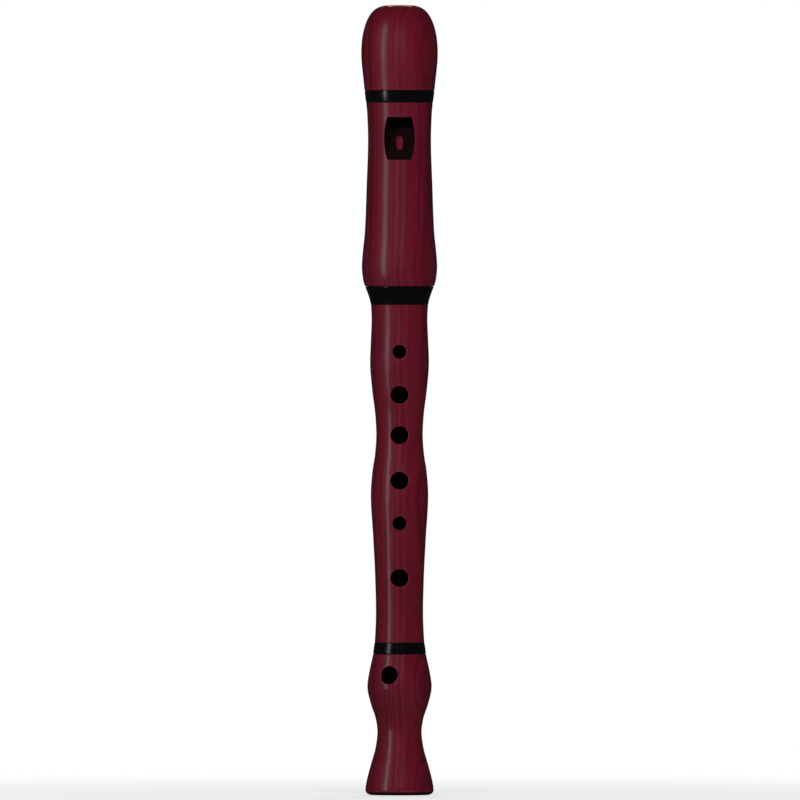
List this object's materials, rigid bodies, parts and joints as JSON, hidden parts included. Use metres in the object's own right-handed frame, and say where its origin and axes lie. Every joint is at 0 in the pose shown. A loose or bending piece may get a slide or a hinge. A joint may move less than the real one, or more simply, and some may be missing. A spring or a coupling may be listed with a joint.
{
  "type": "soprano recorder",
  "caption": "Turned wooden soprano recorder in head, middle and foot joints, with a windway block, cork-lapped tenons, black rings and single finger holes.",
  "frame": {"origin": "centre of the foot's end face, on the axis of the bore, where the instrument stands", "axes": "+Z along the bore axis from the foot towards the beak, -Y out of the front finger holes, +X to the right of someone who faces them"},
  "size_m": [0.032, 0.0317, 0.33],
  "materials": {
    "stained_wood": "dark burgundy stain under satin lacquer",
    "black_ring": "polished black",
    "block_wood": "bare planed cedar",
    "tenon_cork": "sanded cork"
  },
  "bodies": {
    "middle": {"middle_joint": "stained_wood", "upper_tenon_cork": "tenon_cork", "lower_tenon_cork": "tenon_cork"},
    "head_ring": {"head_socket_ring": "black_ring"},
    "head": {"head_joint": "stained_wood", "beak": "stained_wood", "beak_ring": "black_ring"},
    "block": {"block": "block_wood"},
    "foot_ring": {"foot_socket_ring": "black_ring"},
    "foot": {"foot_joint": "stained_wood"}
  },
  "joints": [
    {"name": "head_slide", "type": "slide", "parent": "middle", "child": "head_ring", "axis": [0, 0, 1], "range_m": [0, 0.028]},
    {"name": "head_twist", "type": "hinge", "parent": "head_ring", "child": "head", "pos_m": [0, 0, 0.209], "axis": [0, 0, 1], "continuous": true},
    {"name": "block_slide", "type": "slide", "parent": "head", "child": "block", "axis": [0, 0, 1], "range_m": [0, 0.06]},
    {"name": "foot_slide", "type": "slide", "parent": "middle", "child": "foot_ring", "axis": [0, 0, -1], "range_m": [0, 0.014]},
    {"name": "foot_twist", "type": "hinge", "parent": "foot_ring", "child": "foot", "pos_m": [0, 0, 0.061], "axis": [0, 0, 1], "continuous": true}
  ]
}
